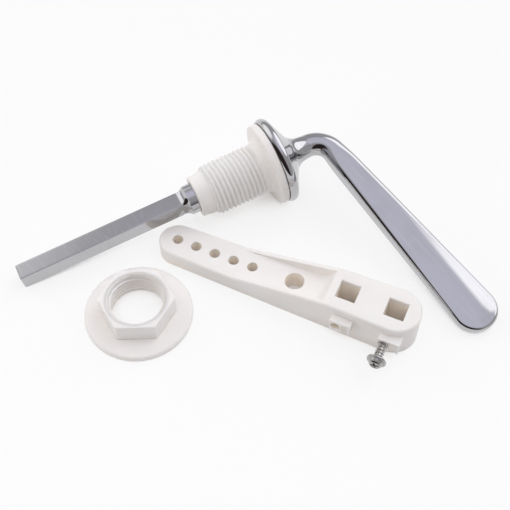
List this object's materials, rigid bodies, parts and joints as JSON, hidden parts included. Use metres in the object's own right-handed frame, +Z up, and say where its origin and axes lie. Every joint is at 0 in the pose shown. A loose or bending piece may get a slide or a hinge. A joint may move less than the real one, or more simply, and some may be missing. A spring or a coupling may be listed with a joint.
{
  "type": "cistern lever",
  "caption": "Chrome flush lever with a bent spatula blade and square spindle in a threaded plastic bush, laid out with its flanged back nut and drilled lift arm.",
  "frame": {"origin": "on the table under the middle of the whole layout", "axes": "+X along the lift arm towards its thick end, +Y from the screw side of the arm to its far side, +Z up from the table"},
  "size_m": [0.1746, 0.1158, 0.0354],
  "materials": {
    "chrome": "polished plating",
    "white_plastic": "moulded, soft sheen",
    "screw_steel": "bright zinc"
  },
  "bodies": {
    "fixed_set": {"bush": "white_plastic", "back_nut": "white_plastic", "lift_arm": "white_plastic"},
    "lever": {"lever": "chrome"},
    "clamp_screw": {"clamp_screw": "screw_steel"}
  },
  "joints": [
    {"name": "lever_turn", "type": "hinge", "parent": "fixed_set", "child": "lever", "pos_m": [-0.01525, 0.03829, 0.01746], "axis": [-0.6414, -0.7563, -0.1288], "continuous": true},
    {"name": "screw_drive", "type": "slide", "parent": "fixed_set", "child": "clamp_screw", "axis": [0, 1, 0], "range_m": [-0.003, 0.0066]}
  ]
}
